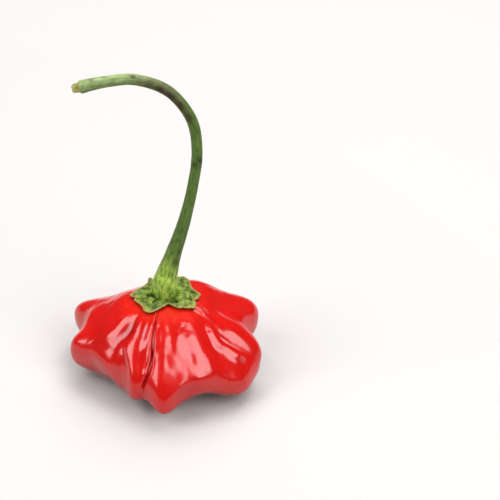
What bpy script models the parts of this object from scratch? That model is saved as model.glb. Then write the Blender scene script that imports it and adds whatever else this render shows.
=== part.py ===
"""A Brazilian starfish pepper, picked and resting on the underside of its pod.

Metres, +Z up. The origin is the middle of the small flat spot that the pod rests on, under its calyx.
-Y is the front. Azimuths are degrees anticlockwise from +X, seen from above, so 270 is the front.
Polar angles are degrees from the top of the pod: 0 is under the stem, 90 the rim, 180 the resting spot.
"""

import math
from collections import namedtuple

import bmesh
import bpy
from mathutils import Vector

MM = 0.001
RIM = 90.0

# Pod, in millimetres and degrees
POD_HEIGHT = 24.0
POD_RADIUS = 18.6
RIM_HEIGHT = 8.2
DOME_POWER = 2.3
BELLY_POWER = 2.5
REST_RADIUS = 6.0
REST_POLAR = 165.0
POD_AROUND = 132
POD_RINGS = 40

# A lobe is one horn of the star. Reach is how far it stands out from the pod's round body,
# and lift is how much higher its tip is than the rim.
Lobe = namedtuple("Lobe", "azimuth reach half_width lift")
LOBES = (
    Lobe(347, 5.3, 12, -0.8),
    Lobe(23, 7.8, 18.5, 2.0),
    Lobe(73, 6.2, 14, -0.6),
    Lobe(112, 6.0, 13, -1.0),
    Lobe(153, 8.4, 13, 1.2),
    Lobe(186, 6.0, 14, -0.8),
    Lobe(249, 2.4, 8, -1.2),
    Lobe(271, 5.8, 12, -2.6),
    Lobe(298, 3.2, 15, 0.4),
    Lobe(326, 7.2, 17, -2.9),
)
LOBE_RISE = 25.0
LOBE_FALL = 36.0
LOBE_POWER = 2.4

# A fold follows a course of (polar, azimuth) points down the shoulder. Left and right are its half widths
# in degrees of azimuth, as seen from outside, a negative height is a groove, and a higher power a flatter top.
Fold = namedtuple("Fold", "height left right course power", defaults=(2.0,))
FOLDS = (
    Fold(1.6, 13.0, 13.0, ((26, 42), (88, 33))),
    Fold(-1.5, 16.0, 16.0, ((22, 118), (78, 120))),
    Fold(0.5, 5.0, 6.0, ((34, 211), (44, 212.5), (54, 210), (62, 207), (74, 203))),
    Fold(-0.5, 4.5, 4.0, ((34, 225.5), (44, 226.5), (54, 225), (62, 222.5), (80, 224))),
    Fold(0.6, 4.0, 3.5, ((24, 234), (44, 237.5), (58, 239), (66, 243), (74, 248), (90, 251)), 3.0),
    Fold(0.4, 6.0, 3.0, ((22, 257), (41, 258), (56, 257.5))),
    Fold(-1.2, 2.6, 3.4, ((20, 260), (40, 261), (56, 261.5), (72, 259.5), (84, 256.5))),
    Fold(0.7, 13.0, 16.0, ((22, 298.5), (43, 297.3), (52, 294.4), (62, 291.2), (74, 285.3)), 6.0),
    Fold(0.5, 8.0, 5.0, ((34, 311), (57, 310), (76, 304)), 3.0),
    Fold(0.8, 4.5, 4.0, ((22, 336), (35, 331), (58, 325))),
    Fold(1.6, 8.0, 6.0, ((42, 342), (60, 348), (88, 354)), 3.0),
)
FOLD_EASE = 14.0
FOLD_SPREAD = 1.6

# Swellings and hollows of the skin, in millimetres of height and degrees of half width each way
Swelling = namedtuple("Swelling", "azimuth polar height across down")
SWELLINGS = (
    Swelling(230, 42, -1.1, 24.0, 14.0),
    Swelling(214, 83, 1.3, 22.0, 11.0),
    Swelling(188.5, 76, 0.7, 6.0, 7.0),
    Swelling(291, 80, 0.8, 16.0, 10.0),
    Swelling(309, 70, 0.6, 7.0, 11.0),
    Swelling(169, 62, 0.9, 9.0, 12.0),
    Swelling(5, 64, 0.9, 9.0, 12.0),
)

# Furrows run between the lobes on the underside, from the rim to the resting spot.
FURROWS = (7, 50, 93, 132, 170, 219, 258, 302)
FURROW_HALF_WIDTH = 9.0
FURROW_DEPTH = 1.3
FURROW_START = 100.0
FURROW_END = 148.0
HEIGHT_HALVINGS = 24

# Stem and calyx, in millimetres and degrees
CALYX_X = 0.3
CALYX_GAP = 0.3
CALYX_EDGE = 0.7
CALYX_ROOT = 0.7
CALYX_CORE = 4.6
CALYX_LOBE_POWER = 4.0
CALYX_LOBES = (
    Lobe(178, 3.8, 11, 0.2),
    Lobe(222, 3.0, 42, 0.0),
    Lobe(287, -1.0, 8, 0.0),
    Lobe(332, 4.2, 24, 0.0),
    Lobe(4, 4.0, 11, 0.1),
    Lobe(36, 3.7, 18, 1.4),
    Lobe(90, 3.0, 20, 0.4),
    Lobe(126, 1.8, 10, 2.0),
)
FOOT_RADIUS = 3.2
FOOT_RIB = 0.4
FOOT_RIB_HALF_WIDTH = 14.0
FOOT_RIB_REACH = 0.16
STEM_ROUTE = (
    (0.3, 0.0, 25.6, 3.2),
    (0.6, 0.2, 27.6, 3.35),
    (1.4, 0.8, 31.4, 2.7),
    (2.9, 1.5, 36.4, 2.1),
    (5.6, 2.6, 45.5, 1.7),
    (8.2, 4.2, 56.0, 1.4),
    (9.3, 5.6, 65.0, 1.4),
    (7.9, 6.9, 73.8, 1.4),
    (2.4, 7.8, 81.2, 1.4),
    (-5.6, 8.2, 84.3, 1.4),
    (-13.0, 8.2, 83.8, 1.45),
    (-19.6, 8.0, 82.3, 1.7),
)
STUB_LENGTH = 2.0
STUB_RADIUS = 1.15
STEM_AROUND = 48
STEM_RINGS = 36
STEM_STEP = 0.002
STUB_RINGS = 3
CALYX_RINGS = 5


def turn_from(middle, azimuth):
    """The signed angle from one azimuth to another, in degrees."""
    return (azimuth - middle + 180.0) % 360.0 - 180.0


def swell(distance, half_width, power=2.0):
    """1 at the middle of a bump, falling smoothly to almost 0 at twice its half width."""
    return math.exp(-((abs(distance) / half_width) ** power))


def ease(value, start, end):
    """0 before start, 1 after end, and a smooth step between them."""
    share = min(1.0, max(0.0, (value - start) / (end - start)))
    return share * share * (3.0 - 2.0 * share)


def stretch(value, start, end):
    """1 from start to end, easing to 0 outside them."""
    begun = ease(value, start - FOLD_EASE, start + FOLD_EASE)
    return begun * (1.0 - ease(value, end - FOLD_EASE, end + FOLD_EASE))


def curve_through(points, place):
    """The value at a place on the smooth curve through (place, value) points."""
    last = len(points) - 1
    span = next((i for i in range(last) if place < points[i + 1][0]), last - 1)

    def slope(i):
        before, after = points[max(0, i - 1)], points[min(last, i + 1)]
        return (after[1] - before[1]) / (after[0] - before[0])

    width = points[span + 1][0] - points[span][0]
    part = min(1.0, max(0.0, (place - points[span][0]) / width))
    rise = points[span + 1][1] - points[span][1]
    leaving, arriving = slope(span) * width, slope(span + 1) * width
    bend = (3.0 * rise - 2.0 * leaving - arriving) * part**2
    return points[span][1] + leaving * part + bend + (leaving + arriving - 2.0 * rise) * part**3


def round_body(polar):
    """(radius, height) of the pod's body without its lobes."""
    if polar <= RIM:
        angle = math.radians(polar)
        radius = POD_RADIUS * math.sin(angle) ** (2.0 / DOME_POWER)
        height = (POD_HEIGHT - RIM_HEIGHT) * abs(math.cos(angle)) ** (2.0 / DOME_POWER)
        return radius, RIM_HEIGHT + height
    angle = math.radians(RIM) * min(1.0, (polar - RIM) / (REST_POLAR - RIM))
    spread = abs(math.cos(angle)) ** (2.0 / BELLY_POWER)
    drop = math.sin(angle) ** (2.0 / BELLY_POWER)
    return REST_RADIUS + (POD_RADIUS - REST_RADIUS) * spread, RIM_HEIGHT * (1.0 - drop)


def fold_height(fold, azimuth, polar):
    """How far one fold stands out of the skin, in millimetres. It is widest where it starts."""
    start, end = fold.course[0][0], fold.course[-1][0]
    away = turn_from(curve_through(fold.course, polar), azimuth)
    share = min(1.0, max(0.0, (polar - start) / (RIM - start)))
    width = fold.left if away < 0.0 else fold.right
    width *= FOLD_SPREAD + (1.0 - FOLD_SPREAD) * share
    return fold.height * stretch(polar, start, end) * swell(away, width, fold.power)


def relief(azimuth, polar):
    """How far the folds, furrows and swellings stand out of the pod's round form, in millimetres."""
    total = sum(fold_height(fold, azimuth, polar) for fold in FOLDS)
    depth = FURROW_DEPTH * stretch(polar, FURROW_START, FURROW_END)
    total -= depth * sum(swell(turn_from(middle, azimuth), FURROW_HALF_WIDTH) for middle in FURROWS)
    for spot in SWELLINGS:
        near = swell(polar - spot.polar, spot.down)
        total += spot.height * near * swell(turn_from(spot.azimuth, azimuth), spot.across)
    return total


def pod_point(azimuth, polar):
    """A point of the pod's skin, in millimetres."""
    radius, height = round_body(polar)
    slope = LOBE_RISE if polar <= RIM else LOBE_FALL
    fade = swell(polar - RIM, slope, LOBE_POWER)
    lift_share = min(1.0, height / RIM_HEIGHT)
    for lobe in LOBES:
        share = fade * swell(turn_from(lobe.azimuth, azimuth), lobe.half_width)
        radius += lobe.reach * share
        height += lobe.lift * share * lift_share
    raised = relief(azimuth, polar)
    radius += raised * math.sin(math.radians(polar))
    height += raised * math.cos(math.radians(polar))
    turn = math.radians(azimuth)
    return Vector((radius * math.cos(turn), radius * math.sin(turn), height))


def pod_height_at(x, y):
    """The height of the pod's shoulder above a point near its middle."""
    azimuth = math.degrees(math.atan2(y, x))
    wanted = math.hypot(x, y)
    low, high = 0.0, RIM
    for _ in range(HEIGHT_HALVINGS):
        polar = (low + high) / 2.0
        point = pod_point(azimuth, polar)
        if math.hypot(point.x, point.y) < wanted:
            low = polar
        else:
            high = polar
    return pod_point(azimuth, low).z


def along_route(points, share):
    """A point on the smooth curve through the points, at a share from 0 to 1 of its spans."""
    spans = len(points) - 1
    span = min(spans - 1, int(share * spans))
    part = share * spans - span
    before, start, end, after = (
        points[min(spans, max(0, span + step))] for step in (-1, 0, 1, 2)
    )
    return (
        2.0 * start
        + (end - before) * part
        + (2.0 * before - 5.0 * start + 4.0 * end - after) * part**2
        + (3.0 * start - before - 3.0 * end + after) * part**3
    ) / 2.0


def stem_station(share):
    """(centre, direction, radius) of the stem at a share from 0 at its foot to 1 at its broken end."""
    route = [Vector(point) for point in STEM_ROUTE]
    here = along_route(route, share)
    ahead = along_route(route, min(1.0, share + STEM_STEP))
    behind = along_route(route, max(0.0, share - STEM_STEP))
    return here.xyz, (ahead - behind).xyz.normalized(), here.w


def calyx_edge(azimuth):
    """(radius, lift) of the calyx's edge."""
    radius, lift = CALYX_CORE, 0.0
    for lobe in CALYX_LOBES:
        share = swell(turn_from(lobe.azimuth, azimuth), lobe.half_width, CALYX_LOBE_POWER)
        radius += lobe.reach * share
        lift += lobe.lift * share
    return radius, lift


def calyx_point(azimuth, share, above):
    """A point at a share of the way from the stem's foot to the calyx's edge, above the pod."""
    edge, lift = calyx_edge(azimuth)
    radius = FOOT_RADIUS + (edge - FOOT_RADIUS) * share
    turn = math.radians(azimuth)
    x = CALYX_X + radius * math.cos(turn)
    y = radius * math.sin(turn)
    return Vector((x, y, pod_height_at(x, y) + above + lift * share**2))


def stem_skin(azimuth, share):
    """A point of the round stem, whose foot is ribbed above the calyx's lobes."""
    centre, direction, radius = stem_station(share)
    for lobe in CALYX_LOBES:
        near = swell(turn_from(lobe.azimuth, azimuth), FOOT_RIB_HALF_WIDTH)
        near *= swell(share, FOOT_RIB_REACH)
        radius += math.copysign(FOOT_RIB, lobe.reach) * near
    side = Vector((0.0, 1.0, 0.0)).cross(direction).normalized()
    other = direction.cross(side)
    turn = math.radians(azimuth)
    return centre + radius * (math.cos(turn) * side + math.sin(turn) * other)


def stub_point(azimuth, ring):
    """A point of the pale stub of fibres that is left in the broken end of the stem."""
    centre, direction, _ = stem_station(1.0)
    tip = centre + direction * STUB_LENGTH
    if ring == 0:
        return tip
    root = tip if ring == 1 else centre
    radius = STUB_RADIUS / stem_station(1.0)[2]
    return root + radius * (stem_skin(azimuth, 1.0) - centre)


def stem_point(azimuth, ring):
    """A point of the stem and calyx. Ring 0 is the middle of the broken end, the last is under the foot."""
    foot_ring = STUB_RINGS + STEM_RINGS
    edge_ring = foot_ring + CALYX_RINGS
    if ring < STUB_RINGS:
        return stub_point(azimuth, ring)
    if ring <= foot_ring:
        return stem_skin(azimuth, (foot_ring - ring) / STEM_RINGS)
    if ring <= edge_ring:
        share = (ring - foot_ring) / CALYX_RINGS
        return calyx_point(azimuth, share, CALYX_GAP + CALYX_EDGE + CALYX_ROOT * (1.0 - share))
    share = 1.0 - (ring - edge_ring - 1) / CALYX_RINGS
    if share > 0.0:
        return calyx_point(azimuth, share, CALYX_GAP)
    return Vector((CALYX_X, 0.0, pod_height_at(CALYX_X, 0.0) + CALYX_GAP))


def drawn_sphere(name, around, down, place, flat_bottom=False):
    """A sphere's net of points, each moved to place(azimuth, ring), with ring 0 at the top."""
    net = bmesh.new()
    bmesh.ops.create_uvsphere(net, u_segments=around, v_segments=down, radius=1.0)
    pole = min(net.verts, key=lambda vertex: vertex.co.z)
    for vertex in net.verts:
        azimuth = math.degrees(math.atan2(vertex.co.y, vertex.co.x)) % 360.0
        ring = round(math.acos(max(-1.0, min(1.0, vertex.co.z))) / math.pi * down)
        vertex.co = place(azimuth, ring) * MM
    if flat_bottom:
        bmesh.ops.dissolve_verts(net, verts=[pole])
    mesh = bpy.data.meshes.new(name)
    net.to_mesh(mesh)
    net.free()
    mesh.shade_smooth()
    piece = bpy.data.objects.new(name, mesh)
    bpy.context.scene.collection.objects.link(piece)
    return piece


def finish(piece, colour, roughness):
    """Gives the piece a material of its own."""
    material = bpy.data.materials.new(piece.name)
    material.use_nodes = True
    shader = material.node_tree.nodes["Principled BSDF"]
    shader.inputs["Base Color"].default_value = (*colour, 1.0)
    shader.inputs["Roughness"].default_value = roughness
    shader.inputs["Metallic"].default_value = 0.0
    piece.data.materials.append(material)


def make_pod():
    """The red fruit body, with one flat face for its resting spot."""

    def place(azimuth, ring):
        return pod_point(azimuth, REST_POLAR * ring / (POD_RINGS - 1))

    pod = drawn_sphere("pod", POD_AROUND, POD_RINGS, place, flat_bottom=True)
    finish(pod, colour=(0.62, 0.012, 0.008), roughness=0.18)


def make_stem():
    """The green stem, with the calyx that it flares into."""
    rings = STUB_RINGS + STEM_RINGS + 2 * CALYX_RINGS + 1
    stem = drawn_sphere("stem", STEM_AROUND, rings, stem_point)
    finish(stem, colour=(0.12, 0.23, 0.03), roughness=0.45)


for leftover in list(bpy.data.objects):
    bpy.data.objects.remove(leftover)
make_pod()
make_stem()
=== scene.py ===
"""A Brazilian starfish pepper, picked and set down on the underside of its pod.

Metres, +Z up, from the middle of the small flat spot that the pod rests on. -Y is the front.
Azimuths are degrees anticlockwise from +X, seen from above, so 270 is the front. On the pod, polar angles
are degrees from its top: 0 is under the stem, 90 the rim, 180 the middle of the resting spot.
"""

import math
from collections import namedtuple
from functools import cache

import bmesh
import bpy
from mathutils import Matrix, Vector, noise
from mathutils.bvhtree import BVHTree


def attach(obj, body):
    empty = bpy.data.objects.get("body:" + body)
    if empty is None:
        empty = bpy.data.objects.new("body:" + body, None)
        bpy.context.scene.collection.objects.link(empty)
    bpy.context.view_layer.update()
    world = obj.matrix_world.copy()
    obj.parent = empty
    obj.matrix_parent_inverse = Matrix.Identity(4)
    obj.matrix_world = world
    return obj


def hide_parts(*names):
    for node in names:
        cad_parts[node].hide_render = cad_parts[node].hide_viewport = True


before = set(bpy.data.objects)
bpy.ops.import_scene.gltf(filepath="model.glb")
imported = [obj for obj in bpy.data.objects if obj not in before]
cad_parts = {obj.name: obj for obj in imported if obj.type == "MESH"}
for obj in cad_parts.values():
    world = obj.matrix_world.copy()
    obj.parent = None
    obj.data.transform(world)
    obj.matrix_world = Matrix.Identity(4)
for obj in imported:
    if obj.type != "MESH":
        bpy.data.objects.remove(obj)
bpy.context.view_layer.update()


# The pod is the ripe fruit, a berry that grew in one piece, with ten lobes round its rim like the horns of a
# star. Its skin is thin and waxy, and is drawn into ridges and folds that run down from the stem. Lengths
# are in millimetres.
MM = 0.001
RIM = 90.0
POD_HEIGHT = 24.0
POD_RADIUS = 18.6
RIM_HEIGHT = 8.2
DOME_POWER = 2.3
BELLY_POWER = 2.5
REST_RADIUS = 6.0
REST_POLAR = 165.0
POD_AROUND = 432
POD_RINGS = 190
REST_RINGS = 12

Lobe = namedtuple("Lobe", "azimuth reach half_width lift")
LOBES = (
    Lobe(347, 5.3, 12, -0.8),
    Lobe(23, 7.8, 18.5, 2.0),
    Lobe(73, 6.2, 14, -0.6),
    Lobe(112, 6.0, 13, -1.0),
    Lobe(153, 8.4, 13, 1.2),
    Lobe(186, 6.0, 14, -0.8),
    Lobe(249, 2.4, 8, -1.2),
    Lobe(271, 5.8, 12, -2.6),
    Lobe(298, 3.2, 15, 0.4),
    Lobe(326, 7.2, 17, -2.9),
)
LOBE_RISE = 25.0
LOBE_FALL = 36.0
LOBE_POWER = 2.4

# A fold follows a course of (polar, azimuth) points down the shoulder. Left and right are its half widths in
# azimuth, as seen from outside, a negative height is a groove, and a higher power gives a flatter top.
Fold = namedtuple("Fold", "height left right course power", defaults=(2.0,))
CREASE = ((24, 259), (40, 259.5), (52, 260.3), (60, 261.8), (68, 261.4), (76, 258.8), (82, 256.8))
LIP = ((26, 260.6), (40, 261), (52, 261.8), (60, 263.3), (68, 262.9), (76, 260.3), (82, 258.3))
SECOND_RIDGE = ((24, 234), (31, 235.5), (44, 237.5), (58, 239), (66, 243), (74, 248), (90, 251))
BROAD_FOLDS = (
    # A rise and a hollow behind
    Fold(1.6, 13.0, 13.0, ((26, 42), (88, 33))),
    Fold(-1.5, 16.0, 16.0, ((22, 118), (78, 120))),
    # Three ridges on the left of the crease, and the valley between the first two
    Fold(0.46, 4.6, 6.4, ((34, 211), (44, 212.5), (54, 210), (62, 207), (74, 203))),
    Fold(-0.38, 5.0, 4.0, ((34, 225.5), (44, 226.5), (54, 225), (62, 222.5), (80, 224))),
    Fold(0.6, 4.0, 5.2, SECOND_RIDGE, 3.0),
    Fold(0.35, 4.4, 1.6, ((22, 258), (41, 259), (56, 258.5))),
    # The valley of the crease
    Fold(-0.8, 1.6, 0.6, ((20, 260), (40, 261.5), (56, 262), (72, 259.5), (84, 256.5))),
    # The broad panel on the right of the crease, the narrow ridge beside it, and the panel's right edge
    Fold(0.5, 12.5, 15.5, ((22, 298.5), (43, 297.3), (52, 294.4), (62, 290), (74, 283.6)), 4.0),
    Fold(0.4, 6.5, 3.6, ((28, 274.5), (38, 273), (51, 272), (64, 270), (75, 266.5), (86, 263))),
    Fold(0.5, 8.0, 5.0, ((34, 311), (57, 309), (76, 301.5)), 3.0),
    # A short ridge by the calyx on the right, and the back of the right lobe
    Fold(0.7, 4.5, 4.0, ((20, 343), (42, 338))),
    Fold(1.9, 8.0, 6.0, ((51, 345), (62, 348.5), (88, 354)), 3.0),
)
BROAD_EASE = 14.0
# The shoulder narrows towards the stem, so a broad fold that starts there covers this much more azimuth.
FOLD_SPREAD = 1.6
FINE_FOLDS = (
    # The floor of the crease, and its right lip
    Fold(-0.45, 0.8, 0.5, CREASE),
    Fold(0.32, 0.5, 4.0, ((28, 261.5), (40, 262), (52, 262.8))),
    Fold(0.18, 0.5, 1.0, LIP),
    # Two folds on the front right lobe, with a groove between them
    Fold(1.0, 5.5, 3.5, ((46, 326.5), (52, 325), (59, 323))),
    Fold(1.15, 6.5, 2.0, ((58, 326), (64, 329), (73, 334))),
    Fold(-0.6, 1.2, 1.4, ((58, 328.5), (64, 331), (73, 335.5))),
    # A groove beside the third ridge, and fine wrinkles that run down from the calyx
    Fold(-0.15, 1.0, 1.0, ((34, 256), (54, 256))),
    Fold(0.1, 1.1, 1.1, ((32, 206), (76, 197))),
    Fold(-0.14, 1.4, 1.4, ((20, 346), (38, 341))),
    Fold(-0.14, 1.4, 1.4, ((20, 353), (36, 350))),
    Fold(-0.12, 1.4, 1.4, ((20, 1), (34, 0))),
    Fold(-0.10, 1.4, 1.4, ((20, 196), (44, 192))),
    Fold(-0.10, 1.4, 1.4, ((20, 185), (40, 181))),
)
FINE_EASE = 5.0

# Azimuths of the shallow furrows between the lobes, on the underside
FURROWS = (7, 50, 93, 132, 170, 219, 258, 302)
FURROW_HALF_WIDTH = 9.0
FURROW_DEPTH = 1.3
FURROW_START = 100.0
FURROW_END = 148.0

# Broad and small swellings and hollows of the skin, with a half width each way
Swelling = namedtuple("Swelling", "azimuth polar height across down")
SWELLINGS = (
    Swelling(230, 42, -1.1, 24.0, 14.0),
    Swelling(214, 81.5, 1.15, 22.0, 11.0),
    Swelling(188.5, 76, 0.7, 6.0, 7.0),
    Swelling(291, 80, 0.8, 16.0, 10.0),
    Swelling(286, 78, 0.35, 6.0, 9.0),
    Swelling(309, 70, 0.6, 7.0, 11.0),
    Swelling(170, 66, 1.5, 9.0, 11.0),
    Swelling(6, 67, 1.4, 9.0, 11.0),
    Swelling(256, 60, -0.35, 4.5, 8.0),
    Swelling(257.5, 72.5, 0.5, 1.8, 3.0),
    Swelling(330, 70, 0.3, 3.0, 3.5),
    Swelling(300, 112, -1.5, 9.0, 12.0),
    Swelling(284, 60, -0.05, 2.4, 8.0),
    Swelling(281, 78, 0.35, 5.0, 6.0),
    Swelling(294, 64, -0.07, 3.0, 5.0),
    Swelling(297, 31.5, 0.3, 8.0, 3.0),
)
# The dip that the stem grows from, with its reach as a polar angle
CALYX_SEAT_DEPTH = 1.3
CALYX_SEAT_REACH = 6.5
CALYX_SEAT_POWER = 2.5
BLOSSOM_SCAR_DEPTH = 0.35
BLOSSOM_SCAR_RADIUS = 1.1
# Waves all over the skin, as (length, height), and faint wrinkles drawn out down the shoulder. Both fade out
# over the last degrees before the resting spot.
WAVES = ((3.6, 0.06), (1.7, 0.04), (0.9, 0.01))
WRINKLE_HEIGHT = 0.045
WRINKLES_ROUND = 13.0
WRINKLE_LENGTH = 26.0
WAVES_FADE = 30.0
# Polar angles between which the orange of the crown ends and the painted shade of the underside begins, and
# how strong that painted shade is
CROWN_ENDS = (14.0, 42.0)
UNDERSIDE_BEGINS = (86.0, 104.0)
UNDERSIDE_PAINTED_SHADE = 0.9
# The net's lines are drawn together at the front crease, so that several of them lie across it.
GATHER = 0.6
GATHER_WIDTH = 12.0
SEAM = 1e-7


def turn_from(middle, azimuth):
    """The signed angle from one azimuth to another, in degrees."""
    return (azimuth - middle + 180.0) % 360.0 - 180.0


def swell(distance, half_width, power=2.0):
    """1 at the middle of a bump, falling smoothly to almost 0 at twice its half width."""
    return math.exp(-((abs(distance) / half_width) ** power))


def ease(value, start, end):
    """0 before start, 1 after end, and a smooth step between them."""
    share = min(1.0, max(0.0, (value - start) / (end - start)))
    return share * share * (3.0 - 2.0 * share)


def stretch(value, start, end, blend):
    """1 from start to end, easing to 0 outside them."""
    return ease(value, start - blend, start + blend) * (1.0 - ease(value, end - blend, end + blend))


def curve_through(points, place):
    """The value at a place on the smooth curve through (place, value) points."""
    last = len(points) - 1
    span = next((i for i in range(last) if place < points[i + 1][0]), last - 1)

    def slope(i):
        before, after = points[max(0, i - 1)], points[min(last, i + 1)]
        return (after[1] - before[1]) / (after[0] - before[0])

    width = points[span + 1][0] - points[span][0]
    part = min(1.0, max(0.0, (place - points[span][0]) / width))
    rise = points[span + 1][1] - points[span][1]
    leaving, arriving = slope(span) * width, slope(span + 1) * width
    bend = (3.0 * rise - 2.0 * leaving - arriving) * part**2
    return points[span][1] + leaving * part + bend + (leaving + arriving - 2.0 * rise) * part**3


@cache
def folds_at(polar):
    """(middle, height, left, right, power) of each fold where it crosses a polar angle."""
    crossed = []
    for folds, blend in ((BROAD_FOLDS, BROAD_EASE), (FINE_FOLDS, FINE_EASE)):
        for fold in folds:
            start, end = fold.course[0][0], fold.course[-1][0]
            height = fold.height * stretch(polar, start, end, blend)
            if height:
                spread = 1.0
                if blend == BROAD_EASE:
                    down = min(1.0, max(0.0, (polar - start) / (RIM - start)))
                    spread = FOLD_SPREAD + (1.0 - FOLD_SPREAD) * down
                middle = curve_through(fold.course, polar)
                crossed.append((middle, height, fold.left * spread, fold.right * spread, fold.power))
    return crossed


@cache
def crease_at(polar):
    """The azimuth of the deep front crease."""
    return curve_through(CREASE, polar)


def relief(azimuth, polar):
    """How far the ridges, folds and swellings stand out of the pod's round form, in millimetres."""
    total = 0.0
    for middle, height, left, right, power in folds_at(polar):
        away = turn_from(middle, azimuth)
        total += height * swell(away, left if away < 0.0 else right, power)
    furrow = FURROW_DEPTH * stretch(polar, FURROW_START, FURROW_END, BROAD_EASE)
    if furrow:
        total -= furrow * sum(swell(turn_from(middle, azimuth), FURROW_HALF_WIDTH) for middle in FURROWS)
    for spot in SWELLINGS:
        away = swell(polar - spot.polar, spot.down)
        total += spot.height * away * swell(turn_from(spot.azimuth, azimuth), spot.across)
    return total


@cache
def round_body(polar):
    """(radius, height) of the pod's body without its lobes."""
    if polar <= RIM:
        angle = math.radians(polar)
        radius = POD_RADIUS * math.sin(angle) ** (2.0 / DOME_POWER)
        height = (POD_HEIGHT - RIM_HEIGHT) * abs(math.cos(angle)) ** (2.0 / DOME_POWER)
        return radius, RIM_HEIGHT + height
    angle = math.radians(RIM) * min(1.0, (polar - RIM) / (REST_POLAR - RIM))
    spread = abs(math.cos(angle)) ** (2.0 / BELLY_POWER)
    drop = math.sin(angle) ** (2.0 / BELLY_POWER)
    return REST_RADIUS + (POD_RADIUS - REST_RADIUS) * spread, RIM_HEIGHT * (1.0 - drop)


def pod_point(azimuth, polar):
    """A point of the pod's skin, and how far it lies in a fold, in millimetres."""
    radius, height = round_body(polar)
    fade = swell(polar - RIM, LOBE_RISE if polar <= RIM else LOBE_FALL, LOBE_POWER)
    lift_share = min(1.0, height / RIM_HEIGHT)
    for lobe in LOBES:
        share = fade * swell(turn_from(lobe.azimuth, azimuth), lobe.half_width)
        radius += lobe.reach * share
        height += lobe.lift * share * lift_share
    turn = math.radians(azimuth)
    place = Vector((radius * math.cos(turn), radius * math.sin(turn), height))
    raised = relief(azimuth, polar)
    inward = -raised
    fine = sum(size * noise.noise(place / length) for length, size in WAVES)
    drawn_out = Vector((math.cos(turn), math.sin(turn), 0.0)) * WRINKLES_ROUND
    drawn_out.z = polar / WRINKLE_LENGTH
    fine += WRINKLE_HEIGHT * noise.noise(drawn_out)
    raised += fine * (1.0 - ease(polar, REST_POLAR - WAVES_FADE, REST_POLAR))
    radius += raised * math.sin(math.radians(polar))
    height += raised * math.cos(math.radians(polar))
    height -= CALYX_SEAT_DEPTH * swell(polar, CALYX_SEAT_REACH, CALYX_SEAT_POWER)
    return Vector((radius * math.cos(turn), radius * math.sin(turn), height)), max(0.0, inward)


def pod_place(azimuth, ring):
    """The place and the shades of one point of the pod. Ring 0 is the top, the last is the blossom scar."""
    polar = REST_POLAR * ring / (POD_RINGS - REST_RINGS)
    if polar > REST_POLAR:
        radius = REST_RADIUS * (POD_RINGS - ring) / REST_RINGS
        turn = math.radians(azimuth)
        scar = swell(radius, BLOSSOM_SCAR_RADIUS)
        height = BLOSSOM_SCAR_DEPTH * scar
        return Vector((radius * math.cos(turn), radius * math.sin(turn), height)), {"scar": scar}
    away = turn_from(crease_at(min(RIM, polar)), azimuth)
    azimuth -= GATHER * away * swell(away, GATHER_WIDTH)
    point, inward = pod_point(azimuth, polar)
    # Painted shade: the skin's colour is darkened by how deep a point lies in a fold, and on the underside.
    painted_under_shade = UNDERSIDE_PAINTED_SHADE * ease(polar, *UNDERSIDE_BEGINS)
    return point, {"fold": inward + painted_under_shade, "crown": 1.0 - ease(polar, *CROWN_ENDS)}


def round_net(around, down, place, shades, lines=()):
    """A closed round net, drawn from a grid whose sides meet and whose ends close to a point.

    Each point goes to place(azimuth, ring), in millimetres, with ring 0 at the top. Its shades and lines
    are kept as layers.
    """
    net = bmesh.new()
    bmesh.ops.create_grid(net, x_segments=around, y_segments=down, size=0.5)
    for name in shades:
        net.verts.layers.float.new(name)
    for name in lines:
        net.verts.layers.float_vector.new(name)
    layers = {name: net.verts.layers.float[name] for name in shades}
    layers.update({name: net.verts.layers.float_vector[name] for name in lines})
    for vertex in net.verts:
        azimuth = 360.0 * (vertex.co.x + 0.5)
        ring = round(down * (0.5 - vertex.co.y))
        point, values = place(azimuth, ring)
        vertex.co = point * MM
        for name, value in values.items():
            vertex[layers[name]] = value
    bmesh.ops.remove_doubles(net, verts=net.verts, dist=SEAM)
    return net


def grown_piece(name, net, material):
    """Makes a smooth object with one material from a net."""
    mesh = bpy.data.meshes.new(name)
    net.to_mesh(mesh)
    mesh.shade_smooth()
    mesh.materials.append(material)
    piece = bpy.data.objects.new(name, mesh)
    bpy.context.scene.collection.objects.link(piece)
    return piece


def linear(colour):
    """The linear colour of an sRGB hex value such as C81E14."""
    shares = [int(colour[i : i + 2], 16) / 255.0 for i in (0, 2, 4)]
    return tuple(s / 12.92 if s <= 0.04045 else ((s + 0.055) / 1.055) ** 2.4 for s in shares) + (1.0,)


def add_node(material, kind, settings, links=()):
    """Adds a node. Settings are (property or socket, value) pairs, and links (socket, output) pairs."""
    node = material.node_tree.nodes.new(kind)
    for name, value in settings:
        if isinstance(name, str) and hasattr(node, name):
            setattr(node, name, value)
        else:
            node.inputs[name].default_value = value
    for name, output in links:
        material.node_tree.links.new(output, node.inputs[name])
    return node


# Sockets of a node that mixes colours
MIX_SHARE, MIX_FROM, MIX_TO, MIX_COLOUR = 0, 6, 7, 2

# Ripe pepper skin: a thin clear layer of wax over red flesh, grown smooth. It gives the eye sharp pale
# reflections over a deep red, a little more orange by the calyx, with painted shade darkening the folds and
# the underside. The red drifts in patches about as wide as a lobe's tip, and the skin's cells give it a fine
# grain.
PATCH_WIDTH = 6.25
CELL_WIDTH = 0.45
CELL_DEPTH = 0.05
pepper_skin = bpy.data.materials.new("ripe_pepper_skin")
pepper_skin.use_nodes = True
pepper_skin.node_tree.nodes.clear()
place = add_node(pepper_skin, "ShaderNodeTexCoord", ())
patches = add_node(
    pepper_skin,
    "ShaderNodeTexNoise",
    (("Scale", 1.0 / (PATCH_WIDTH * MM)), ("Detail", 3.0), ("Roughness", 0.55)),
    (("Vector", place.outputs["Object"]),),
)
red = add_node(
    pepper_skin,
    "ShaderNodeMix",
    (("data_type", "RGBA"), (MIX_FROM, linear("9E0805")), (MIX_TO, linear("B40F09"))),
    ((MIX_SHARE, patches.outputs["Fac"]),),
)
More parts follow.
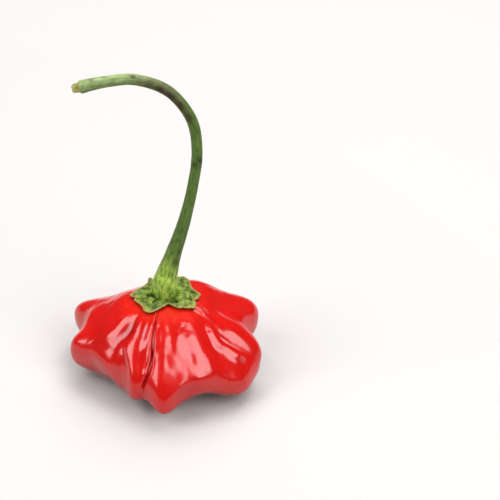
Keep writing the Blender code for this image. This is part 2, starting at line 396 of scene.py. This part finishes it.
crown = add_node(pepper_skin, "ShaderNodeAttribute", (("attribute_name", "crown"),))
crown_share = add_node(
    pepper_skin, "ShaderNodeMath", (("operation", "MULTIPLY"), (1, 0.22)), ((0, crown.outputs["Fac"]),)
)
warm = add_node(
    pepper_skin,
    "ShaderNodeMix",
    (("data_type", "RGBA"), (MIX_TO, linear("D8300E"))),
    ((MIX_SHARE, crown_share.outputs[0]), (MIX_FROM, red.outputs[MIX_COLOUR])),
)
# Painted shade: the red darkens towards 7A0405 with the depth of a fold and on the underside.
fold = add_node(pepper_skin, "ShaderNodeAttribute", (("attribute_name", "fold"),))
fold_shade_share = add_node(
    pepper_skin,
    "ShaderNodeMapRange",
    (("From Min", 0.2), ("From Max", 1.4), ("To Min", 0.0), ("To Max", 0.7)),
    (("Value", fold.outputs["Fac"]),),
)
fold_shaded_red = add_node(
    pepper_skin,
    "ShaderNodeMix",
    (("data_type", "RGBA"), (MIX_TO, linear("7A0405"))),
    ((MIX_SHARE, fold_shade_share.outputs[0]), (MIX_FROM, warm.outputs[MIX_COLOUR])),
)
scar = add_node(pepper_skin, "ShaderNodeAttribute", (("attribute_name", "scar"),))
scarred = add_node(
    pepper_skin,
    "ShaderNodeMix",
    (("data_type", "RGBA"), (MIX_TO, linear("6B3A1E"))),
    ((MIX_SHARE, scar.outputs["Fac"]), (MIX_FROM, fold_shaded_red.outputs[MIX_COLOUR])),
)
cells = add_node(
    pepper_skin,
    "ShaderNodeTexNoise",
    (("Scale", 1.0 / (CELL_WIDTH * MM)), ("Detail", 2.0)),
    (("Vector", place.outputs["Object"]),),
)
wax = add_node(
    pepper_skin,
    "ShaderNodeMapRange",
    (("From Min", 0.3), ("From Max", 0.7), ("To Min", 0.15), ("To Max", 0.23)),
    (("Value", patches.outputs["Fac"]),),
)
grained = add_node(
    pepper_skin,
    "ShaderNodeBump",
    (("Strength", 0.06), ("Distance", CELL_DEPTH * MM)),
    (("Height", cells.outputs["Fac"]),),
)
shader = add_node(
    pepper_skin,
    "ShaderNodeBsdfPrincipled",
    (("IOR", 1.45), ("Coat Weight", 0.2), ("Coat Roughness", 0.08)),
    (
        ("Base Color", scarred.outputs[MIX_COLOUR]),
        ("Roughness", wax.outputs[0]),
        ("Normal", grained.outputs[0]),
    ),
)
add_node(pepper_skin, "ShaderNodeOutputMaterial", (), (("Surface", shader.outputs[0]),))

pod_net = round_net(POD_AROUND, POD_RINGS, pod_place, ("fold", "crown", "scar"))
pod_skin = BVHTree.FromBMesh(pod_net)
pod = grown_piece("pod_fruit", pod_net, pepper_skin)
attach(pod, "root")
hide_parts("pod")


# The stem and its calyx are one green piece that grew with the pod: a round stalk, ribbed and swollen at
# its foot, which spreads into a fleshy, blistered calyx with a dry, toothed margin. The stalk was torn off
# the plant at its top.
STEM_AROUND = 216
SPAN_RINGS = 18
END_RINGS = 6
STUB_RINGS = 10
CALYX_RINGS = 44
EDGE_RINGS = 8
UNDER_RINGS = 16

# (x, y, z, radius) up the middle of the stalk
STEM_ROUTE = (
    (0.3, 0.0, 24.2, 2.8),
    (0.35, 0.0, 25.0, 3.1),
    (0.4, 0.05, 25.9, 3.35),
    (0.5, 0.15, 27.0, 3.4),
    (0.7, 0.3, 28.5, 3.25),
    (1.4, 0.8, 31.4, 2.7),
    (2.9, 1.5, 36.4, 2.1),
    (5.75, 2.6, 45.5, 1.63),
    (8.2, 4.2, 56.0, 1.4),
    (9.3, 5.6, 65.0, 1.4),
    (7.9, 6.9, 73.8, 1.4),
    (2.4, 7.8, 81.2, 1.4),
    (-5.6, 8.2, 84.3, 1.4),
    (-13.0, 8.2, 83.8, 1.45),
    (-19.6, 8.0, 82.3, 1.7),
)
STEM_RINGS = SPAN_RINGS * (len(STEM_ROUTE) - 1)
STUB_LENGTH = 2.0
STUB_RADIUS = 1.2
STUB_BEVEL = 0.35
STUB_NECK = 0.15
STUB_STEP = 0.1
SKIN_THICKNESS = 0.2
# The tear is roughest at its edge. Its pattern and the fibres' are cut from noise at different heights.
TEAR_HEIGHT = 0.3
MIDDLE_TEAR = 0.3
TEARS_ROUND = 3.0
TEARS_CUT = 9.0
FIBRE_HEIGHT = 0.12
FIBRES_ROUND = 5.0
FIBRES_CUT = 3.0
# The share of the stub's way down from which it widens to the ring of green skin
STUB_SPREADS = 0.8

CALYX_X = 0.3
CALYX_GAP = 0.3
CALYX_EDGE = 0.6
CALYX_ROOT = 0.3
CALYX_FOOT = 2.8
# The calyx is puffed up between its root and its margin, and less so where it is short.
CALYX_PUFF = 0.45
PUFF_NARROWING = 1.1
PUFF_POWER = 1.2
FULL_PUFF_REACH = 4.0
DEEPEST_RECESS = 0.55
# Shares of the way out on the calyx between which its welts end, and its blisters get lower
WELTS_END = (0.9, 1.0)
BLISTERS_SINK = (0.8, 1.0)
BLISTERS_LOST = 0.8
# Blisters of the calyx, as (width, height), and teeth of its margin, as (how many to a radian, height)
BLISTERS = ((1.15, 0.26), (0.5, 0.16))
TEETH = ((9.0, 0.16), (21.0, 0.1))
MARGIN_CURL = 0.12
CURLS = 6.0
# (azimuth, radius, lift above the pod) round the calyx's margin
MARGIN = (
    (3, 9.2, 0.1),
    (9, 9.6, 0.2),
    (14, 8.9, 0.3),
    (20, 7.9, 0.6),
    (28, 7.8, 1.1),
    (38, 8.0, 1.6),
    (48, 7.7, 1.8),
    (57, 7.3, 1.6),
    (66, 6.6, 0.9),
    (76, 6.8, 0.4),
    (90, 7.9, 0.2),
    (103, 6.9, 0.3),
    (113, 5.8, 0.5),
    (121, 5.9, 1.2),
    (128, 6.8, 2.1),
    (135, 6.2, 1.2),
    (143, 6.9, 0.3),
    (155, 7.5, 0.1),
    (164, 8.3, 0.0),
    (172, 9.0, 0.0),
    (178, 8.8, 0.0),
    (185, 7.6, 0.0),
    (191, 7.9, 0.0),
    (199, 7.6, 0.0),
    (212, 7.2, 0.0),
    (222, 7.3, 0.0),
    (229, 7.9, 0.0),
    (237, 8.1, 0.0),
    (245, 7.8, 0.0),
    (253, 6.8, 0.0),
    (263, 5.8, 0.0),
    (275, 5.0, 0.0),
    (285, 4.3, 0.0),
    (292, 4.9, 0.0),
    (300, 6.1, 0.0),
    (308, 7.0, 0.0),
    (317, 7.6, 0.0),
    (325, 8.4, 0.0),
    (332, 9.2, 0.0),
    (341, 8.8, 0.0),
    (349, 8.0, 0.0),
    (356, 8.6, 0.0),
)
# A welt runs outwards on the calyx from an inner to an outer radius. A negative height is a recess.
Welt = namedtuple("Welt", "azimuth inner outer half_width height")
WELTS = (
    Welt(16, 2.0, 4.4, 0.8, 1.0),
    Welt(356, 3.4, 7.0, 0.9, 0.8),
    Welt(8, 5.0, 8.0, 0.6, -0.6),
    Welt(344, 5.4, 7.6, 0.7, -0.5),
    Welt(328, 4.2, 6.2, 0.8, 0.8),
    Welt(310, 3.4, 5.4, 0.9, -0.8),
    Welt(292, 3.2, 4.2, 0.5, -0.3),
    Welt(252, 3.8, 5.2, 0.7, 0.7),
    Welt(238, 3.0, 5.0, 0.6, -0.6),
    Welt(222, 3.6, 7.0, 0.7, 0.5),
    Welt(194, 3.0, 4.6, 0.9, -0.8),
    Welt(178, 4.4, 8.6, 0.7, 0.5),
    Welt(205, 5.0, 6.8, 0.6, -0.4),
    Welt(162, 4.6, 6.4, 0.5, -0.4),
    Welt(128, 2.0, 6.4, 0.8, 0.7),
    Welt(90, 2.0, 7.0, 0.9, 0.7),
    Welt(48, 2.0, 7.0, 0.9, 0.6),
)
WELT_EASE = 0.8
# Ribs of the stalk's foot, which fade out between two lengths from its bottom
FOOT_RIB = 0.22
FOOT_RIB_HALF_WIDTH = 11.0
FOOT_RIBS = (18, 48, 90, 128, 174, 200, 235, 262, 300, 337)
FOOT_FADES = (1.0, 7.0)
# Heights of the stalk's long streaks, of its fine unevenness and of the raised scar half way up it. Both
# patterns change faster round the stalk than along it.
STREAK_HEIGHT = 0.05
FOOT_STREAK_HEIGHT = 0.06
STREAKS_ROUND = 1.6
STREAKS_ALONG = 0.12
UNEVEN_HEIGHT = 0.03
UNEVEN_ALONG = 0.5
SCAR_HEIGHT = 0.05
SCAR_AT = 39.6
SCAR_HALF_LENGTH = 1.0
GRAIN_RADIUS = 1.5


def along_route(points, share):
    """A point on the smooth curve through the points, at a share from 0 to 1 of its spans."""
    spans = len(points) - 1
    span = min(spans - 1, int(share * spans))
    part = share * spans - span
    before, start, end, after = (points[min(spans, max(0, span + step))] for step in (-1, 0, 1, 2))
    return (
        2.0 * start
        + (end - before) * part
        + (2.0 * before - 5.0 * start + 4.0 * end - after) * part**2
        + (3.0 * start - before - 3.0 * end + after) * part**3
    ) / 2.0


Station = namedtuple("Station", "centre direction side other radius length")


def stem_stations():
    """The stem's round sections, from its foot to its torn end."""
    route = [Vector(point) for point in STEM_ROUTE]
    places = [along_route(route, step / STEM_RINGS) for step in range(STEM_RINGS + 1)]
    stations = []
    length = 0.0
    for step, here in enumerate(places):
        ahead, behind = places[min(STEM_RINGS, step + 1)], places[max(0, step - 1)]
        direction = (ahead - behind).xyz.normalized()
        side = Vector((0.0, 1.0, 0.0)).cross(direction).normalized()
        length += (here - behind).xyz.length
        stations.append(Station(here.xyz, direction, side, direction.cross(side), here.w, length))
    return stations


STATIONS = stem_stations()
STEM_LENGTH = STATIONS[-1].length


def grain_at(azimuth, length):
    """A place on the stem's unrolled skin, in millimetres, that joins up all the way round."""
    turn = math.radians(azimuth)
    return Vector((GRAIN_RADIUS * math.cos(turn), GRAIN_RADIUS * math.sin(turn), length))


def stem_skin(azimuth, step, out=0.0):
    """A point of the stalk, whose foot is ribbed above the calyx's lobes."""
    station = STATIONS[step]
    grain = grain_at(azimuth, station.length)
    foot = 1.0 - ease(station.length, *FOOT_FADES)
    ribs = sum(swell(turn_from(middle, azimuth), FOOT_RIB_HALF_WIDTH) for middle in FOOT_RIBS)
    radius = station.radius + out + FOOT_RIB * foot * (ribs - 1.0)
    drawn_out = Vector((grain.x * STREAKS_ROUND, grain.y * STREAKS_ROUND, grain.z * STREAKS_ALONG))
    radius += (STREAK_HEIGHT + FOOT_STREAK_HEIGHT * foot) * noise.noise(drawn_out)
    radius += UNEVEN_HEIGHT * noise.noise(Vector((grain.x, grain.y, grain.z * UNEVEN_ALONG)))
    radius += SCAR_HEIGHT * swell(station.length - SCAR_AT, SCAR_HALF_LENGTH)
    turn = math.radians(azimuth)
    return station.centre + radius * (math.cos(turn) * station.side + math.sin(turn) * station.other)


def periodic(points):
    """The same points with enough of them repeated before and after to close the circle."""
    before = [(azimuth - 360.0, value) for azimuth, value in points[-3:]]
    after = [(azimuth + 360.0, value) for azimuth, value in points[:3]]
    return before + list(points) + after


MARGIN_RADIUS = periodic([(azimuth, radius) for azimuth, radius, _ in MARGIN])
MARGIN_LIFT = periodic([(azimuth, lift) for azimuth, _, lift in MARGIN])


@cache
def margin_at(azimuth):
    """(radius, lift) of the calyx's margin, with its small teeth."""
    turn = math.radians(azimuth)
    ring = Vector((math.cos(turn), math.sin(turn), 0.0))
    radius = curve_through(MARGIN_RADIUS, azimuth)
    radius += sum(size * noise.noise(ring * count) for count, size in TEETH)
    lift = max(0.0, curve_through(MARGIN_LIFT, azimuth)) + MARGIN_CURL * (1.0 + noise.noise(ring * CURLS))
    return radius, lift


def skin_height(x, y):
    """The height of the pod's skin, in millimetres, above a point near its middle."""
    hit = pod_skin.ray_cast(Vector((x * MM, y * MM, POD_HEIGHT * MM * 2.0)), Vector((0.0, 0.0, -1.0)))
    return hit[0].z / MM


def calyx_relief(azimuth, radius, share):
    """How far the calyx's welts, recesses and blisters stand out, in millimetres."""
    total = 0.0
    for welt in WELTS:
        along = stretch(radius, welt.inner, welt.outer, WELT_EASE)
        if along:
            across = math.radians(turn_from(welt.azimuth, azimuth)) * radius
            if abs(turn_from(welt.azimuth, azimuth)) < 90.0:
                total += welt.height * along * swell(across, welt.half_width)
    turn = math.radians(azimuth)
    spot = Vector((radius * math.cos(turn), radius * math.sin(turn), 0.0))
    blisters = sum(size * noise.noise(spot / width) for width, size in BLISTERS)
    kept = 1.0 - BLISTERS_LOST * ease(share, *BLISTERS_SINK)
    return total * (1.0 - ease(share, *WELTS_END)) + blisters * kept


def calyx_point(azimuth, share, top):
    """A point of the calyx at a share of the way from the stem's foot to its margin, and its relief."""
    edge, lift = margin_at(azimuth)
    reach = edge - CALYX_FOOT
    radius = CALYX_FOOT + (reach - CALYX_EDGE / 2.0) * share
    turn = math.radians(azimuth)
    x = CALYX_X + radius * math.cos(turn)
    y = radius * math.sin(turn)
    height = skin_height(x, y) + CALYX_GAP + lift * share**2
    raised = 0.0
    if top:
        raised = calyx_relief(azimuth, radius, share)
        swollen = math.sin(math.pi * min(1.0, share * PUFF_NARROWING) ** PUFF_POWER)
        puff = CALYX_PUFF * swollen * min(1.0, reach / FULL_PUFF_REACH)
        height += CALYX_EDGE + CALYX_ROOT * (1.0 - share) + max(-DEEPEST_RECESS, raised + puff)
    return Vector((x, y, height)), raised


def torn_point(azimuth, ring):
    """A point of the torn end: a pale stub of fibres that stands out of the ring of green skin."""
    last = STATIONS[-1]
    turn = math.radians(azimuth)
    spoke = math.cos(turn) * last.side + math.sin(turn) * last.other
    inner = min(1.0, ring / END_RINGS)
    around = Vector((math.cos(turn), math.sin(turn), 0.0))
    torn = noise.noise(around * inner * TEARS_ROUND + Vector((0.0, 0.0, TEARS_CUT)))
    if ring <= END_RINGS:
        rough = MIDDLE_TEAR + (1.0 - MIDDLE_TEAR) * inner
        length = STUB_LENGTH - STUB_BEVEL * inner**3 + TEAR_HEIGHT * torn * rough
        return last.centre + last.direction * length + spoke * (STUB_RADIUS - STUB_NECK) * inner
    share = (ring - END_RINGS) / STUB_RINGS
    length = (STUB_LENGTH - STUB_BEVEL + TEAR_HEIGHT * torn) * (1.0 - share)
    fibre = noise.noise(around * FIBRES_ROUND + Vector((0.0, 0.0, FIBRES_CUT)))
    radius = STUB_RADIUS + FIBRE_HEIGHT * fibre - STUB_NECK * (1.0 - share) ** 2
    if share > STUB_SPREADS:
        radius += (last.radius - SKIN_THICKNESS - radius) * ease(share, STUB_SPREADS, 1.0)
    return last.centre + last.direction * length + spoke * radius


# (length from the foot, azimuth, half length, half width in degrees, strength) of the stalk's dark marks
MARKS = (
    (39.2, 245.0, 0.7, 34.0, 0.9),
    (40.3, 305.0, 0.9, 36.0, 0.9),
    (70.2, 330.0, 0.65, 24.0, 1.0),
    (80.3, 338.0, 0.5, 22.0, 0.8),
    (14.6, 300.0, 0.6, 14.0, 1.0),
    (17.6, 262.0, 0.35, 8.0, 0.5),
    (11.5, 300.0, 1.6, 26.0, 0.75),
    (2.2, 272.0, 0.6, 9.0, 0.35),
    (2.6, 305.0, 0.6, 10.0, 0.45),
)
# The same for the broad brown band across the front of the arch
BROWN_BANDS = (
    (62.0, 10.0, 5.5, 110.0, 0.5),
    (68.5, 290.0, 1.6, 70.0, 0.55),
    (66.0, 285.0, 2.2, 90.0, 0.8),
    (63.0, 270.0, 2.4, 80.0, 1.0),
    (60.0, 268.0, 2.8, 75.0, 1.0),
    (56.5, 266.0, 2.6, 60.0, 1.0),
    (52.5, 270.0, 2.2, 42.0, 0.85),
)
# Lengths up the stalk between which it stops being young or in the painted shade of the calyx, and starts to
# be paler, partly weathered and partly painted light
YOUNG_ENDS = (4.0, 16.0)
SHADE_ENDS = (0.0, 1.3)
PALE_LIT_BEGINS = (50.0, 72.0)
# Paleness all round the arch, and the more that its upper, outer side has: partly weathering, partly painted
# light from above
PALE_LIT_ROUND = 0.25
PALE_LIT_OUTSIDE = 0.6
OUTER_SIDE = 345.0
OUTER_HALF_WIDTH = 60.0
# The stalk's skin is rolled in over this length at the tear. The stub has brown patches, so many to a mm.
LIP_LENGTH = 0.35
LIP_SHADE = 0.8
BROWN_PATCHES = 0.9
BROWNING = 1.6
# Shares of the way out on the calyx between which its own green begins, and its dry and ragged margin
CALYX_BEGINS = (0.05, 0.5)
DRY_BEGINS = (0.91, 1.0)
RAGGED = 0.05
# Painted shade: how dark the calyx's recesses are for each millimetre of depth, the groove round the stalk,
# the stalk's foot and the calyx's underside
RECESS_SHADE = 2.2
GROOVE_SHADE = 0.45
GROOVE_WIDTH = 0.15
FOOT_SHADE = 0.8
UNDER_SHADE = 0.5
# Places in the streaks' pattern, below the stalk's foot, that the calyx's rings take
CALYX_GRAIN = 4.0
EDGE_GRAIN = 4.2
UNDER_GRAIN = 4.4


def spread_of(spots, azimuth, length):
    """How strongly the nearest of some spots shows on the stalk, from 0 to 1."""
    most = 0.0
    for middle, around, long, wide, strength in spots:
        if abs(length - middle) < 3.0 * long:
            away = swell(turn_from(around, azimuth), wide)
            most = max(most, strength * swell(length - middle, long) * away)
    return most


def stem_place(azimuth, ring):
    """The place and the shades of one point of the stem. Ring 0 is the torn end's middle."""
    stalk_ring = END_RINGS + STUB_RINGS
    foot_ring = stalk_ring + STEM_RINGS
    margin_ring = foot_ring + CALYX_RINGS
    under_ring = margin_ring + EDGE_RINGS
    if ring < stalk_ring:
        point = torn_point(azimuth, ring)
        browned = BROWNING * max(0.0, noise.noise(point * BROWN_PATCHES))
        grain = grain_at(azimuth, STEM_LENGTH + ring * STUB_STEP)
        return point, {"torn": 1.0, "mark": browned, "grain": grain}
    if ring <= foot_ring:
        step = foot_ring - ring
        length = STATIONS[step].length
        lip = ease(length, STEM_LENGTH - LIP_LENGTH, STEM_LENGTH)
        outside = swell(turn_from(OUTER_SIDE, azimuth), OUTER_HALF_WIDTH)
        return stem_skin(azimuth, step, -SKIN_THICKNESS * lip**2), {
            "grain": grain_at(azimuth, length),
            "mark": spread_of(MARKS, azimuth, length),
            "brown_band": spread_of(BROWN_BANDS, azimuth, length),
            "young": 1.0 - ease(length, *YOUNG_ENDS),
            "weathered_and_lit": ease(length, *PALE_LIT_BEGINS) * (PALE_LIT_ROUND + PALE_LIT_OUTSIDE * outside),
            "painted_shade": FOOT_SHADE * (1.0 - ease(length, *SHADE_ENDS)),
            "torn": LIP_SHADE * lip,
        }
    if ring <= margin_ring:
        share = (ring - foot_ring) / CALYX_RINGS
        point, raised = calyx_point(azimuth, share, top=True)
        # Painted shade in the calyx's recesses and in the groove round the stalk
        painted_shade = max(0.0, -RECESS_SHADE * raised) + GROOVE_SHADE * swell(share, GROOVE_WIDTH)
        ragged = RAGGED * noise.noise(Vector((point.x, point.y, 0.0)))
        return point, {
            "grain": grain_at(azimuth, -CALYX_GRAIN * share),
            "young": 1.0,
            "calyx": ease(share, *CALYX_BEGINS),
            "painted_shade": min(1.0, painted_shade),
            "dry": ease(share + ragged, *DRY_BEGINS),
        }
    if ring <= under_ring:
        turn = math.pi * (ring - margin_ring) / EDGE_RINGS
        top, _ = calyx_point(azimuth, 1.0, top=True)
        under, _ = calyx_point(azimuth, 1.0, top=False)
        out = Vector((top.x - CALYX_X, top.y, 0.0)).normalized() * CALYX_EDGE / 2.0
        middle, half = (top + under) / 2.0, (top - under) / 2.0
        point = middle + half * math.cos(turn) + out * math.sin(turn)
        # The lower half of the margin's edge gets painted shade, a dark line where the calyx meets the pod.
        tint = "dry" if ring < margin_ring + EDGE_RINGS / 2 else "painted_shade"
        return point, {tint: 1.0, "calyx": 1.0, "grain": grain_at(azimuth, -EDGE_GRAIN)}
    share = 1.0 - (ring - under_ring) / UNDER_RINGS
    point, _ = calyx_point(azimuth, share, top=False)
    if ring == under_ring + UNDER_RINGS:
        point = Vector((CALYX_X, 0.0, skin_height(CALYX_X, 0.0) + CALYX_GAP))
    return point, {"calyx": 1.0, "painted_shade": UNDER_SHADE, "grain": grain_at(azimuth, -UNDER_GRAIN)}


# Green stalk: fresh, satin plant skin with fine streaks along its growth. It gives the eye a soft sheen on
# mottled green, yellow-green at the foot, with brown scars, a dry tan margin and pale fibres at the tear.
# Painted shade darkens the calyx's recesses, the stalk's foot and the calyx's underside, and the top of the
# arch is paler, partly weathered and partly painted light.
# Along the stalk the streaks change at this share of the pace at which they change round it.
STREAK_SLOWNESS = 0.22
STREAK_WIDTH = 0.417
STREAK_DEPTH = 0.12
MOTTLE_WIDTH = 1.11
PIT_DEPTH = 0.1
green_stalk = bpy.data.materials.new("fresh_green_stalk")
green_stalk.use_nodes = True
green_stalk.node_tree.nodes.clear()
grain = add_node(green_stalk, "ShaderNodeAttribute", (("attribute_name", "grain"),))
drawn_out = add_node(
    green_stalk,
    "ShaderNodeMapping",
    (("Scale", (1.0, 1.0, STREAK_SLOWNESS)),),
    (("Vector", grain.outputs["Vector"]),),
)
streaks = add_node(
    green_stalk,
    "ShaderNodeTexNoise",
    (("Scale", 1.0 / STREAK_WIDTH), ("Detail", 4.0), ("Roughness", 0.6)),
    (("Vector", drawn_out.outputs[0]),),
)
streak_share = add_node(
    green_stalk,
    "ShaderNodeMapRange",
    (("From Min", 0.35), ("From Max", 0.65)),
    (("Value", streaks.outputs["Fac"]),),
)
place = add_node(green_stalk, "ShaderNodeTexCoord", ())
mottle = add_node(
    green_stalk,
    "ShaderNodeTexNoise",
    (("Scale", 1.0 / (MOTTLE_WIDTH * MM)), ("Detail", 4.0), ("Roughness", 0.6)),
    (("Vector", place.outputs["Object"]),),
)
mottle_share = add_node(
    green_stalk,
    "ShaderNodeMapRange",
    (("From Min", 0.35), ("From Max", 0.65)),
    (("Value", mottle.outputs["Fac"]),),
)
stalk_green = add_node(
    green_stalk,
    "ShaderNodeMix",
    (("data_type", "RGBA"), (MIX_FROM, linear("33461B")), (MIX_TO, linear("4E662A"))),
    ((MIX_SHARE, streak_share.outputs[0]),),
)
young_green = add_node(
    green_stalk,
    "ShaderNodeMix",
    (("data_type", "RGBA"), (MIX_FROM, linear("4E6A1E")), (MIX_TO, linear("9AB24A"))),
    ((MIX_SHARE, streak_share.outputs[0]),),
)
pale_lit_green = add_node(
    green_stalk,
    "ShaderNodeMix",
    (("data_type", "RGBA"), (MIX_FROM, linear("6C8246")), (MIX_TO, linear("A2AC82"))),
    ((MIX_SHARE, streak_share.outputs[0]),),
)
calyx_green = add_node(
    green_stalk,
    "ShaderNodeMix",
    (("data_type", "RGBA"), (MIX_FROM, linear("2C4012")), (MIX_TO, linear("7E903C"))),
    ((MIX_SHARE, mottle_share.outputs[0]),),
)

# Each tint is a plain colour or one of these greens. It shows where the stem's shade of that name says so,
# up to its strength. The dark green is painted shade, and the pale old green on the arch is partly
# weathering and partly painted light from above.
TINTS = (
    ("young", young_green, 1.0),
    ("calyx", calyx_green, 1.0),
    ("weathered_and_lit", pale_lit_green, 0.8),
    ("painted_shade", "101E06", 0.85),
    ("brown_band", "2C1E10", 1.0),
    ("dry", "8A7444", 0.85),
    ("torn", "8A864A", 1.0),
    ("mark", "1A160A", 0.9),
)
colour = stalk_green
for shade, tint, strength in TINTS:
    where = add_node(green_stalk, "ShaderNodeAttribute", (("attribute_name", shade),))
    share = add_node(
        green_stalk,
        "ShaderNodeMath",
        (("operation", "MULTIPLY"), (1, strength)),
        ((0, where.outputs["Fac"]),),
    )
    settings = [("data_type", "RGBA")]
    links = [(MIX_SHARE, share.outputs[0]), (MIX_FROM, colour.outputs[MIX_COLOUR])]
    if isinstance(tint, str):
        settings.append((MIX_TO, linear(tint)))
    else:
        links.append((MIX_TO, tint.outputs[MIX_COLOUR]))
    colour = add_node(green_stalk, "ShaderNodeMix", settings, links)

satin = add_node(
    green_stalk,
    "ShaderNodeMapRange",
    (("From Min", 0.3), ("From Max", 0.7), ("To Min", 0.38), ("To Max", 0.52)),
    (("Value", mottle.outputs["Fac"]),),
)
ribbed = add_node(
    green_stalk,
    "ShaderNodeBump",
    (("Strength", 0.35), ("Distance", STREAK_DEPTH * MM)),
    (("Height", streaks.outputs["Fac"]),),
)
pitted = add_node(
    green_stalk,
    "ShaderNodeBump",
    (("Strength", 0.3), ("Distance", PIT_DEPTH * MM)),
    (("Height", mottle.outputs["Fac"]), ("Normal", ribbed.outputs[0])),
)
shader = add_node(
    green_stalk,
    "ShaderNodeBsdfPrincipled",
    (("IOR", 1.4), ("Specular IOR Level", 0.25)),
    (
        ("Base Color", colour.outputs[MIX_COLOUR]),
        ("Roughness", satin.outputs[0]),
        ("Normal", pitted.outputs[0]),
    ),
)
add_node(green_stalk, "ShaderNodeOutputMaterial", (), (("Surface", shader.outputs[0]),))

STEM_ALL_RINGS = END_RINGS + STUB_RINGS + STEM_RINGS + CALYX_RINGS + EDGE_RINGS + UNDER_RINGS
STEM_SHADES = ("torn", "mark", "brown_band", "young", "weathered_and_lit", "painted_shade", "calyx", "dry")
stem_net = round_net(STEM_AROUND, STEM_ALL_RINGS, stem_place, STEM_SHADES, ("grain",))
stem = grown_piece("stem_calyx", stem_net, green_stalk)
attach(stem, "root")
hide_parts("stem")


# The floor is a plain pale table top of matt laminate, wide enough to fill the view behind the pepper. It
# lies a hair below the resting spot, so that the two don't share one plane.
FLOOR_SIZE = 6.0
FLOOR_DROP = 0.00005
matt_white = bpy.data.materials.new("matt_white_laminate")
matt_white.use_nodes = True
matt_white.node_tree.nodes["Principled BSDF"].inputs["Base Color"].default_value = linear("AEABAA")
matt_white.node_tree.nodes["Principled BSDF"].inputs["Roughness"].default_value = 0.6
floor_net = bmesh.new()
bmesh.ops.create_grid(floor_net, x_segments=1, y_segments=1, size=FLOOR_SIZE / 2.0)
bmesh.ops.translate(floor_net, vec=(0.0, 0.0, -FLOOR_DROP), verts=floor_net.verts)
floor = grown_piece("floor", floor_net, matt_white)


# Soft studio light: a large softbox in front on the right, one on the left, a small one high up, and a dim,
# even room. A softbox behind lights the table top, and is kept out of the pepper's shine.
LAMP_DISTANCE = 0.7
ROOM_LIGHT = 0.1


def softbox(name, azimuth, elevation, wide, tall, watts):
    """A rectangular lamp that faces the pepper."""
    turn, rise = math.radians(azimuth), math.radians(elevation)
    away = Vector((math.cos(turn) * math.cos(rise), math.sin(turn) * math.cos(rise), math.sin(rise)))
    lamp = bpy.data.lights.new(name, "AREA")
    lamp.shape = "RECTANGLE"
    lamp.size = wide
    lamp.size_y = tall
    lamp.energy = watts
    holder = bpy.data.objects.new(name, lamp)
    bpy.context.scene.collection.objects.link(holder)
    holder.location = away * LAMP_DISTANCE
    holder.rotation_euler = away.to_track_quat("Z", "Y").to_euler()
    return holder


softbox("key", azimuth=316.0, elevation=41.0, wide=0.43, tall=0.61, watts=5.5)
softbox("fill", azimuth=202.0, elevation=43.0, wide=0.42, tall=0.6, watts=5.0)
softbox("top", azimuth=22.0, elevation=72.0, wide=0.3, tall=0.26, watts=1.2)
softbox("back", azimuth=80.0, elevation=55.0, wide=0.6, tall=0.6, watts=6.6).visible_glossy = False
room = bpy.data.worlds.new("room")
bpy.context.scene.world = room
room.use_nodes = True
room.node_tree.nodes["Background"].inputs["Color"].default_value = (1.0, 1.0, 1.0, 1.0)
room.node_tree.nodes["Background"].inputs["Strength"].default_value = ROOM_LIGHT


# The camera looks down at the pepper from the front, 600 mm from the resting spot.
CAMERA_DISTANCE = 0.6
CAMERA_DROP = math.radians(35.0)
FRAME_PIXELS = 500.0
PIXELS_PER_METRE = 3760.0
SPOT_PIXEL = (165.0, 369.0)
SENSOR = 36.0
across = (FRAME_PIXELS / 2.0 - SPOT_PIXEL[0]) / PIXELS_PER_METRE
upward = (SPOT_PIXEL[1] - FRAME_PIXELS / 2.0) / PIXELS_PER_METRE
camera_data = bpy.data.cameras.new("camera")
camera_data.sensor_width = SENSOR
camera_data.lens = PIXELS_PER_METRE * CAMERA_DISTANCE / FRAME_PIXELS * SENSOR
camera_data.clip_start = 0.01
camera = bpy.data.objects.new("camera", camera_data)
bpy.context.scene.collection.objects.link(camera)
camera.rotation_euler = (math.radians(90.0) - CAMERA_DROP, 0.0, 0.0)
camera.location = (
    across,
    upward * math.sin(CAMERA_DROP) - CAMERA_DISTANCE * math.cos(CAMERA_DROP),
    upward * math.cos(CAMERA_DROP) + CAMERA_DISTANCE * math.sin(CAMERA_DROP),
)
bpy.context.scene.camera = camera
bpy.context.scene.view_settings.view_transform = "Standard"
